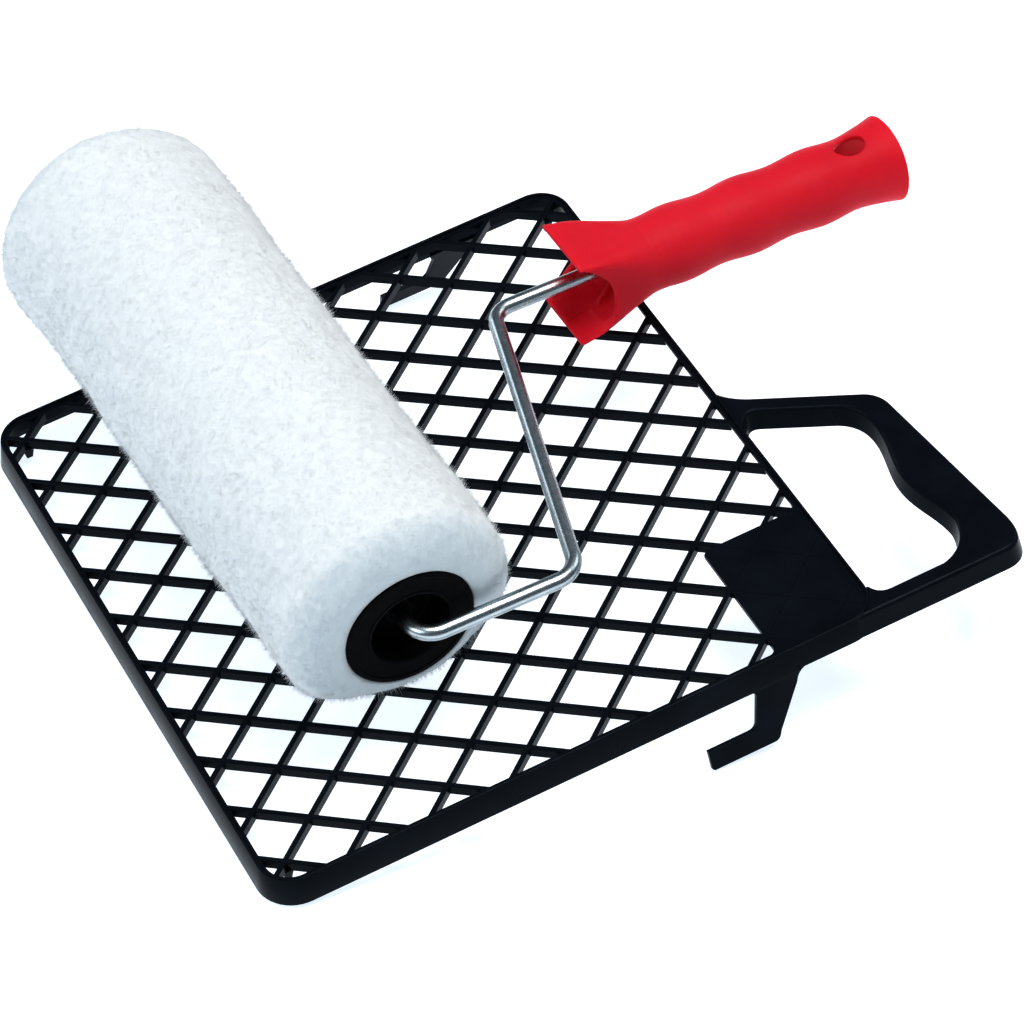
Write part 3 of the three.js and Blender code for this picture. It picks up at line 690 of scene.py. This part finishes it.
def handle_section(along, inset, sides=72):
    """Section of the handle: a rounded rectangle at the mouth that turns into the round grip."""
    blend = min(along / WAIST, 1.0)
    grip = grip_radius(max(along, WAIST))
    half_width = MOUTH_HALF_WIDTH + (grip - MOUTH_HALF_WIDTH) * blend - inset
    half_height = MOUTH_HALF_HEIGHT + (grip - MOUTH_HALF_HEIGHT) * blend - inset
    roundness = smoothstep(along, 6, WAIST + 9)
    power = 1 / (1 / MOUTH_POWER + (1 / GRIP_POWER - 1 / MOUTH_POWER) * roundness)
    middle = HANDLE_AXIAL + MOUTH_OFFSET * (1 - blend)
    level = HANDLE_SAG - HANDLE_DROOP * along / HANDLE_LENGTH
    loop = []
    for turn in full_turn(sides):
        cosine, sine = math.cos(turn), math.sin(turn)
        bend = (abs(cosine) ** power + abs(sine) ** power) ** (-1 / power)
        loop.append(Vector((MOUTH_REACH + along, middle + half_width * bend * cosine,
                            level + half_height * bend * sine)))
    return loop


def side_cutter(shape, low, high):
    """Solid with this side view of the handle, from low to high across it."""
    return loft([[Vector((MOUTH_REACH + p.x, HANDLE_AXIAL + y, HANDLE_SAG + p.y)) for p in shape]
                 for y in (low, high)])


def mouth_notches():
    """Cutters for the side walls: a deep round notch where the wire arrives and a straight one opposite."""
    top, reach = MOUTH_HALF_HEIGHT, 1.5 * MOUTH_HALF_WIDTH
    lip = top - MOUTH_LIP
    near = outline((-2, lip), [
        [(0, lip)], [(3.5, lip), (8, top - 7)], [(11.5, top - 11.2)], [(16.4, top - 18), (15.2, top - 30)],
        [(13.5, top - 38), (5, 2.2 - top), (0, -lip)], [(-2, -lip)]], steps=12)
    far = outline((-2, lip), [
        [(0, lip)], [(11, 5)], [(15, 0), (11, -5)], [(0, -lip)], [(-2, -lip)]], steps=10)
    return [side_cutter(near, -reach, 0.0), side_cutter(far, 0.0, reach)]


def wire_gusset():
    """Web across the inside of the mouth that holds the wire, with a sloped front edge."""
    floor, half_thickness, skin = 1.5 - MOUTH_HALF_HEIGHT, 0.9, 1.2
    shape = [Vector(p) for p in ((30, floor), (30, -floor), (11, -floor), (20, 7.5), (23, 3), (23, -3),
                                 (19.5, -6.5), (11, floor))]
    web = side_cutter(shape, -half_thickness, half_thickness)
    return combined(web, loft([handle_section(s, skin) for s in range(0, 37, 3)]), "INTERSECT")


def hang_hole():
    """Cutter for the egg-shaped hanging hole, its narrow end towards the mouth."""
    shape = []
    for turn in full_turn(48):
        half_width = HANG_HOLE_HALF_WIDTH * (1 + HANG_HOLE_TAPER * math.cos(turn))
        shape.append(Vector((MOUTH_REACH + HANG_HOLE_REACH + HANG_HOLE_HALF_LENGTH * math.cos(turn),
                             HANDLE_AXIAL + half_width * math.sin(turn))))
    return loft([at_height(shape, HANDLE_SAG + side * 2 * GRIP_RADIUS) for side in (-1, 1)])


def handle_skin():
    """The outside of the handle as a solid."""
    flared, step = 36, 3.6
    stations = list(range(0, flared, 3))
    stations += [flared + step * k for k in range(int((HANDLE_LENGTH - flared) / step))] + [HANDLE_LENGTH]
    return loft([handle_section(s, 0) for s in stations])


def mouth_funnel():
    """Cutter for the hollow mouth, whose wall grows thicker towards the wire."""
    walls = [(0, 0.0), (6, 0.0), (12, 0.0), (18, 0.6), (24, 2.8), (27, 6.5)]
    loops = [handle_section(s, HANDLE_WALL + extra) for s, extra in walls]
    opening = [p - Vector((2, 0, 0)) for p in loops[0]]
    return loft([opening] + loops)


def pole_socket():
    """Cutter for the socket in the butt, a little narrower at its bottom."""
    steps, tapered, narrowing = 14, 58, 0.4
    loops = [handle_section(SOCKET_END + tapered * k / steps, HANDLE_WALL + narrowing * (1 - k / steps))
             for k in range(steps + 1)]
    loops.append(handle_section(HANDLE_LENGTH - 1.5, HANDLE_WALL))
    loops.append([p + Vector((2, 0, 0)) for p in handle_section(HANDLE_LENGTH, HANDLE_WALL)])
    return loft(loops)


def wire_bore():
    """Cutter for the bore that the wire is pressed into, from the mouth to the socket."""
    radius = WIRE_RADIUS + 0.35
    return loft([[Vector((MOUTH_REACH + s, HANDLE_AXIAL + radius * math.cos(turn), radius * math.sin(turn)))
                  for turn in full_turn(32)] for s in (8, SOCKET_END + 1)])


def softened(mesh):
    """The mesh rebuilt evenly, so that its edges are rounded like those of the soft moulding."""
    soft = temporary(mesh)
    remesh = soft.modifiers.new("even", "REMESH")
    remesh.mode = "VOXEL"
    remesh.voxel_size = SKIN_VOXEL
    smooth = soft.modifiers.new("soften", "SMOOTH")
    smooth.factor = 0.5
    smooth.iterations = SKIN_SMOOTHING
    thin = soft.modifiers.new("thin", "DECIMATE")
    thin.ratio = SKIN_SHARE_KEPT
    bpy.context.view_layer.update()
    return evaluated(soft)


def handle_grip():
    """Hollow moulding: outer skin, funnel mouth with its web, pole socket, notches, hole and wire bore."""
    body = combined(handle_skin(), mouth_funnel(), "DIFFERENCE")
    body = combined(body, pole_socket(), "DIFFERENCE")
    body = combined(body, wire_gusset(), "UNION")
    for cutter in (*mouth_notches(), hang_hole(), wire_bore()):
        body = combined(body, cutter, "DIFFERENCE")
    mesh = softened(body)
    mesh.transform(ROLLER)
    shade(mesh, 180)
    return mesh


# ---------------------------------------------------------------- roller: fleece
PILE_INNER = FLANGE_RADIUS + 0.25
PILE_BORE = 24.3
PILE_FLOOR = -41.3
PRESS_DEPTH = 4.0
RIM_CROSSING = 212.0
RIM_RELEASE = 8.0
LEFT_REACH = 47.3
RIGHT_REACH = 43.0
SLACK_WAY = (0.954, 0.299)
FAR_BULGE = 4.6
CAP_SETBACK = FLANGE_THICKNESS + 0.3
PILE_SIDES = 300
PILE_RINGS = 250
FIBRE_COUNT = 49000
FIBRE_LENGTHS = (1.8, 3.6)
STRAY_LENGTHS = (3.8, 5.5)
STRAY_SPACING = 30


def pile_reach(y):
    """How far the slack pile stands out to the left and to the right of the roller's axis."""
    near = 1 - smoothstep(y, 10, 110)
    far = smoothstep(y, RIM_CROSSING - 4, ROLLER_LENGTH - 6)
    return LEFT_REACH - 2.6 * near + 3.4 * far, RIGHT_REACH + 1.5 * near - 0.4 * far


def end_fullness(y, turn):
    """Share of its full thickness that the pile keeps here: it rounds off towards both ends."""
    low_side = smoothstep(-math.sin(turn - 0.2), 0.25, 0.95)
    from_far = ROLLER_LENGTH - y
    if y < from_far:
        reach, edge, power = 13.0 + 12.0 * low_side, 0.14 - 0.1 * low_side, 1.9 - 0.5 * low_side
    else:
        reach, edge, power = 17.0, 0.14, 2.0
    t = min(min(y, from_far) / reach, 1.0)
    return edge + (1 - edge) * (1 - (1 - t) ** power) ** (1 / power)


def pressed_flat(x, z, y):
    """The pile squeezed up and sideways where it would sink into the ribs, until it passes the rear rim."""
    held = 1 - smoothstep(y, RIM_CROSSING, RIM_CROSSING + RIM_RELEASE)
    start = PILE_FLOOR + PRESS_DEPTH
    if z < start and held > 0:
        pressed = PILE_FLOOR + PRESS_DEPTH * math.exp(-(start - z) / PRESS_DEPTH)
        x += held * 0.25 * (pressed - z) * math.copysign(1, x) * min(abs(x) / 12, 1)
        z += held * (pressed - z)
    return x, z


def pile_surface(y, turn):
    """Point on the fleece: a slack round pile that is pressed flat where it lies on the grid."""
    left, right = pile_reach(y)
    radius, shift = (left + right) / 2, (left - right) / 2
    x = -shift * SLACK_WAY[0] + radius * math.cos(turn)
    z = -shift * SLACK_WAY[1] + radius * math.sin(turn)
    out = PILE_INNER + (math.hypot(x, z) - PILE_INNER) * end_fullness(y, turn)
    angle = math.atan2(z, x)
    x, z = pressed_flat(out * math.cos(angle), out * math.sin(angle), y)
    swell = smoothstep(y, ROLLER_LENGTH - 45, ROLLER_LENGTH)
    puff = FAR_BULGE * swell * smoothstep(out, PILE_INNER, PILE_INNER + 8)
    return Vector((x, y + puff, z))


def tufted(point, outward, strength):
    """The point moved in and out by soft lumps, pointed locks and small tufts."""
    lumps = 0.8 * noise.noise(point / 26) + 0.6 * noise.noise(point / 11 + Vector((5, 1, 2)))
    locks = 0.55 - abs(noise.noise(point / 4.6 + Vector((8, 2, 6)))) * 2.2
    tufts = 0.22 * noise.noise(point / 1.9 + Vector((3, 7, 4)))
    return point + outward * (lumps + 0.3 * locks + tufts) * strength


def outward_at(y, turn):
    """Direction that points straight out of the fleece."""
    reach, step = 0.4, 0.02
    here = pile_surface(y, turn)
    along = pile_surface(min(y + reach, ROLLER_LENGTH), turn) - pile_surface(max(y - reach, 0.0), turn)
    around = pile_surface(y, turn + step) - pile_surface(y, turn - step)
    normal = along.cross(around)
    if normal.dot(Vector((here.x, 0, here.z))) < 0:
        normal.negate()
    return normal.normalized()


def ring_places():
    """Places of the rings along the fleece: even in the middle, closer together towards both ends."""
    end, steps = 7, 12
    places = [end * (1 - math.cos(math.pi * k / (2 * steps))) for k in range(steps)]
    places += [end + (ROLLER_LENGTH - 2 * end) * k / PILE_RINGS for k in range(PILE_RINGS + 1)]
    places = sorted(set(round(p, 3) for p in places if p <= ROLLER_LENGTH / 2))
    return places + [ROLLER_LENGTH - p for p in reversed(places) if p < ROLLER_LENGTH / 2 - 0.3]


def nap_mesh():
    """The pile as one thick tube: a tufted outside, rounded ends and the bore that holds the tube."""
    turns = full_turn(PILE_SIDES)

    def smooth_ring(radius, y):
        """A plain round ring, for the inside and the covered edges of the tube."""
        return [Vector((radius * math.cos(turn), y, radius * math.sin(turn))) for turn in turns]

    loops = [smooth_ring(PILE_INNER, CAP_SETBACK), smooth_ring(PILE_INNER, 0.6)]
    for y in ring_places():
        strength = min(1.0, 0.25 + min(y, ROLLER_LENGTH - y) / 6)
        loops.append([tufted(pile_surface(y, turn), outward_at(y, turn), strength) for turn in turns])
    far_cap = ROLLER_LENGTH - CAP_SETBACK
    loops += [smooth_ring(PILE_INNER, ROLLER_LENGTH - 0.6), smooth_ring(PILE_INNER, far_cap),
              smooth_ring(PILE_BORE, far_cap), smooth_ring(PILE_BORE, CAP_SETBACK)]
    mesh = loft(loops, closed=True)
    mesh.transform(ROLLER)
    shade(mesh, 180)
    return mesh


def fibre_mesh():
    """Loose fibre tips standing out of the pile: thin closed spikes shaded like the surface they leave."""
    draw = random.Random(7)
    points, faces, normals = [], [], []
    for k in range(FIBRE_COUNT):
        y = draw.uniform(0.3, ROLLER_LENGTH - 0.3)
        turn = draw.uniform(0, 2 * math.pi)
        outward = outward_at(y, turn)
        root = tufted(pile_surface(y, turn), outward, 1.0) - 0.5 * outward
        lean = Vector((draw.gauss(0, 1), draw.gauss(0, 1), draw.gauss(0, 1)))
        lean = (lean - lean.dot(outward) * outward).normalized()
        length = draw.uniform(*(FIBRE_LENGTHS if k % STRAY_SPACING else STRAY_LENGTHS))
        tip = root + length * (0.8 * outward + draw.uniform(0.1, 0.9) * lean)
        if y < RIM_CROSSING and tip.z < PILE_FLOOR - 0.5:
            continue
        side = outward.cross(lean).normalized()
        width = draw.uniform(0.06, 0.1)
        first = len(points)
        points += [root - width * side - 0.4 * width * lean, root + width * side - 0.4 * width * lean,
                   root + 1.2 * width * lean, tip]
        faces += [(first, first + 2, first + 1), (first, first + 1, first + 3),
                  (first + 1, first + 2, first + 3), (first + 2, first, first + 3)]
        normals += [outward] * 4
    mesh = bpy.data.meshes.new("fibres")
    mesh.from_pydata([tuple(p) for p in points], [], faces)
    mesh.transform(ROLLER)
    clean(mesh)
    turned = ROLLER.to_3x3().normalized()
    mesh.polygons.foreach_set("use_smooth", [True] * len(mesh.polygons))
    mesh.normals_split_custom_set_from_vertices([(turned @ n).normalized() for n in normals])
    return mesh


# ---------------------------------------------------------------- materials
# Painted shade: cool dark tint multiplied into the fleece where its surface faces along the roller, at the ends.
END_SHADE_TINT = (0.74, 0.81, 0.85, 1.0)


class Nodes:
    """A material's node tree with short calls for making and linking nodes."""

    def __init__(self, name):
        self.material = bpy.data.materials.new(name)
        self.material.use_nodes = True
        self.tree = self.material.node_tree
        self.shader = self.tree.nodes["Principled BSDF"]
        self.place = self.add("ShaderNodeTexCoord").outputs["Object"]

    def add(self, kind, **values):
        """A new node with these settings."""
        node = self.tree.nodes.new(kind)
        for key, value in values.items():
            setattr(node, key, value)
        return node

    def link(self, source, target):
        self.tree.links.new(source, target)

    def noise(self, scale, detail=3.0, roughness=0.5):
        """Noise in the piece's own coordinates; the scale is about the number of lumps per metre."""
        node = self.add("ShaderNodeTexNoise")
        node.inputs["Scale"].default_value = scale
        node.inputs["Detail"].default_value = detail
        node.inputs["Roughness"].default_value = roughness
        self.link(self.place, node.inputs["Vector"])
        return node.outputs["Fac"]

    def ramp(self, source, stops):
        """Colours blended along a value, from (position, colour) stops."""
        node = self.add("ShaderNodeValToRGB")
        while len(node.color_ramp.elements) < len(stops):
            node.color_ramp.elements.new(0.5)
        for element, (position, color) in zip(node.color_ramp.elements, stops):
            element.position = position
            element.color = (*color, 1)
        self.link(source, node.inputs["Fac"])
        return node.outputs["Color"]

    def between(self, source, low, high, limits=(0.3, 0.7)):
        """Maps a value to a range; the limits suit noise, which stays near 0.5."""
        node = self.add("ShaderNodeMapRange")
        node.inputs["From Min"].default_value = limits[0]
        node.inputs["From Max"].default_value = limits[1]
        node.inputs["To Min"].default_value = low
        node.inputs["To Max"].default_value = high
        self.link(source, node.inputs["Value"])
        return node.outputs["Result"]

    def painted_end_shade(self, color):
        """The colour made cooler and darker where the surface faces along the roller: painted shade on the ends of
        the pile.
        """
        facing = self.add("ShaderNodeVectorMath", operation="DOT_PRODUCT")
        facing.inputs[1].default_value = roller_axis
        self.link(self.add("ShaderNodeTexCoord").outputs["Normal"], facing.inputs[0])
        strength = self.add("ShaderNodeMath", operation="ABSOLUTE")
        self.link(facing.outputs["Value"], strength.inputs[0])
        mix = self.add("ShaderNodeMix", data_type="RGBA", blend_type="MULTIPLY")
        mix.inputs["B"].default_value = END_SHADE_TINT
        self.link(self.between(strength.outputs["Value"], 0.0, 1.0, (0.1, 1.0)), mix.inputs["Factor"])
        self.link(color, mix.inputs["A"])
        return mix.outputs["Result"]

    def bump(self, source, distance, strength=1.0, below=None):
        """Relief this many metres deep, on top of another relief when one is given."""
        node = self.add("ShaderNodeBump")
        node.inputs["Distance"].default_value = distance
        node.inputs["Strength"].default_value = strength
        self.link(source, node.inputs["Height"])
        if below:
            self.link(below, node.inputs["Normal"])
        return node.outputs["Normal"]

    def set(self, **values):
        """Inputs of the shader by name, each a constant or another node's output."""
        for key, value in values.items():
            socket = self.shader.inputs[key.replace("_", " ")]
            if hasattr(value, "is_linked"):
                self.link(value, socket)
            else:
                socket.default_value = value


def black_plastic():
    """Glossy moulded plastic with faint flow marks and a few dull handling patches."""
    m = Nodes("black_gloss_plastic")
    color = m.ramp(m.noise(45), [(0.3, (0.0048, 0.0064, 0.0092)), (0.7, (0.0072, 0.0096, 0.0138))])
    roughness = m.between(m.noise(70, detail=5, roughness=0.6), 0.17, 0.3)
    fine = m.bump(m.noise(2600, detail=2), 0.00001)
    m.set(Base_Color=color, Roughness=roughness, Normal=m.bump(m.noise(190), 0.00003, below=fine))
    m.set(IOR=1.46, Specular_IOR_Level=0.05, Specular_Tint=(0.7, 0.9, 1.0, 1.0))
    return m.material


def cap_plastic():
    """Satin plastic with a fine spark-eroded texture."""
    m = Nodes("cap_satin_plastic")
    color = m.ramp(m.noise(120), [(0.3, (0.0014, 0.0014, 0.002)), (0.7, (0.0025, 0.0026, 0.0034))])
    roughness = m.between(m.noise(300), 0.42, 0.56)
    m.set(Base_Color=color, Roughness=roughness, Specular_IOR_Level=0.04,
          Normal=m.bump(m.noise(1900, detail=4), 0.00004))
    return m.material


def red_plastic():
    """Satin red moulding with a faint grain and a slow drift in its colour."""
    m = Nodes("red_satin_plastic")
    color = m.ramp(m.noise(38), [(0.3, (0.58, 0.016, 0.032)), (0.7, (0.65, 0.021, 0.040))])
    roughness = m.between(m.noise(160, detail=4), 0.44, 0.54)
    m.set(Base_Color=color, Roughness=roughness, Specular_IOR_Level=0.07,
          Normal=m.bump(m.noise(1500, detail=4), 0.000025))
    m.set(Subsurface_Weight=0.6, Subsurface_Radius=(0.008, 0.0006, 0.0008), Subsurface_Scale=1.0)
    return m.material


def zinc_wire():
    """Zinc-plated wire, slightly uneven and with small cloudy patches."""
    m = Nodes("bright_zinc_wire")
    color = m.ramp(m.noise(150, detail=5), [(0.3, (0.41, 0.47, 0.5)), (0.7, (0.52, 0.58, 0.61))])
    roughness = m.between(m.noise(420, detail=5, roughness=0.65), 0.25, 0.31)
    m.set(Base_Color=color, Metallic=1.0, Roughness=roughness, Normal=m.bump(m.noise(900), 0.000003))
    return m.material


def white_fleece():
    """Soft white pile, slightly uneven in colour, that scatters light inside, with painted shade on its ends."""
    m = Nodes("white_fleece")
    color = m.ramp(m.noise(260, detail=6, roughness=0.65),
                   [(0.3, (0.725, 0.76, 0.778)), (0.5, (0.77, 0.803, 0.816)), (0.7, (0.812, 0.842, 0.852))])
    # Painted shade: the ends of the pile are darkened and cooled.
    color = m.painted_end_shade(color)
    fine = m.bump(m.noise(2100, detail=4, roughness=0.7), 0.00025, 0.6)
    m.set(Base_Color=color, Roughness=0.95, Normal=m.bump(m.noise(620, detail=4), 0.0005, 0.4, below=fine))
    m.set(Subsurface_Weight=0.5, Subsurface_Radius=(0.004, 0.004, 0.0045), Subsurface_Scale=1.0)
    m.set(Sheen_Weight=0.35, Sheen_Roughness=0.6)
    return m.material


def fleece_fibre():
    """Single fibres, a little brighter than the pile they leave, with the same painted shade on the ends."""
    m = Nodes("fleece_fibre")
    color = m.painted_end_shade(m.ramp(m.noise(300), [(0.3, (0.74, 0.775, 0.79)), (0.7, (0.83, 0.858, 0.87))]))
    m.set(Base_Color=color, Roughness=0.85)
    return m.material


def core_board():
    """Resin-bound core tube with a mottled grain."""
    m = Nodes("core_board")
    color = m.ramp(m.noise(90, detail=6), [(0.3, (0.42, 0.32, 0.2)), (0.7, (0.55, 0.43, 0.28))])
    m.set(Base_Color=color, Roughness=0.75, Normal=m.bump(m.noise(700, detail=4), 0.0001))
    return m.material


def clip_steel():
    """Dull spring steel of the retaining washer."""
    m = Nodes("clip_steel")
    color = m.ramp(m.noise(400), [(0.3, (0.35, 0.36, 0.38)), (0.7, (0.5, 0.51, 0.53))])
    m.set(Base_Color=color, Metallic=1.0, Roughness=m.between(m.noise(900), 0.28, 0.42))
    return m.material


# ---------------------------------------------------------------- pieces
GRID_NODES = ["grid_lattice", "grid_rim", "grid_carry_handle", "bucket_hook_front", "bucket_hook_rear"]
GRID_NODES += [f"corner_post_{end}_{side}" for end in ("front", "rear") for side in ("left", "right")]

cap_material = cap_plastic()
piece("grid_moulding", grid_moulding(), black_plastic(), "grid", GRID_NODES)
piece("cap_near", end_cap(False), cap_material, "roller_sleeve", ["end_cap_near"])
piece("cap_far", end_cap(True), cap_material, "roller_sleeve", ["end_cap_far"])
piece("bent_wire", wire_frame(), zinc_wire(), "roller_frame", ["wire_frame"])
piece("red_handle", handle_grip(), red_plastic(), "roller_frame", ["handle_grip"])
piece("fleece_pile", nap_mesh(), white_fleece(), "roller_sleeve", ["nap_cover"])
piece("fleece_fibres", fibre_mesh(), fleece_fibre(), "roller_sleeve", ["nap_cover"])

for node, material in (("core_tube", core_board()), ("retaining_clip", clip_steel())):
    frame["nodes"][node].data.materials.clear()
    frame["nodes"][node].data.materials.append(material)


# ---------------------------------------------------------------- floor and light
FLOOR_GLOW = 0.68
FLOOR_REACH = 6.0
FLOOR_GAP = 0.0002


def floor_material():
    """Pale floor with a slight glow of its own, which keeps the shadows on it faint."""
    m = Nodes("pale_floor")
    color = m.ramp(m.noise(3), [(0.3, (0.6, 0.6, 0.6)), (0.7, (0.59, 0.59, 0.59))])
    m.set(Base_Color=color, Roughness=0.9)
    m.set(Emission_Color=(0.92, 1.02, 1.12, 1.0), Emission_Strength=FLOOR_GLOW)
    return m.material


def make_floor():
    """A wide floor just under the lowest point of the object."""
    mesh = bpy.data.meshes.new("floor")
    corners = [(x * FLOOR_REACH, y * FLOOR_REACH, 0) for x, y in ((-1, -1), (1, -1), (1, 1), (-1, 1))]
    mesh.from_pydata(corners, [], [(0, 1, 2, 3)])
    mesh.materials.append(floor_material())
    floor = bpy.data.objects.new("floor", mesh)
    floor.location.z = cad_box[0].z - FLOOR_GAP
    bpy.context.scene.collection.objects.link(floor)


def soft_box(name, place, size, watts, color):
    """A large soft lamp aimed at the middle of the object."""
    data = bpy.data.lights.new(name, "AREA")
    data.shape = "RECTANGLE"
    data.size, data.size_y = size
    data.energy = watts
    data.color = color
    lamp = bpy.data.objects.new(name, data)
    lamp.location = place
    aim = Vector((0, 0, 0.03)) - Vector(place)
    lamp.rotation_euler = aim.to_track_quat("-Z", "Y").to_euler()
    bpy.context.scene.collection.objects.link(lamp)


def make_light():
    """Soft light from straight above, with weaker lamps on both sides and behind on the left."""
    world = bpy.data.worlds.new("studio")
    world.use_nodes = True
    background = world.node_tree.nodes["Background"]
    background.inputs["Color"].default_value = (0.75, 0.88, 1.0, 1)
    background.inputs["Strength"].default_value = 0.12
    scene = bpy.context.scene
    scene.world = world
    scene.view_settings.view_transform = "Standard"
    scene.view_settings.look = "Medium High Contrast"
    soft_box("left", (-1.6, -0.3, 1.3), (1.1, 1.1), 12, (0.86, 0.94, 1.0))
    soft_box("overhead", (0.25, -0.15, 2.0), (1.1, 1.1), 30, (1.0, 0.995, 0.985))
    soft_box("behind", (-1.0, 1.6, 0.6), (0.8, 0.8), 4.5, (0.85, 0.94, 1.0))
    soft_box("right", (1.6, 0.2, 1.3), (0.9, 0.9), 5, (0.95, 0.98, 1.0))


make_floor()
make_light()
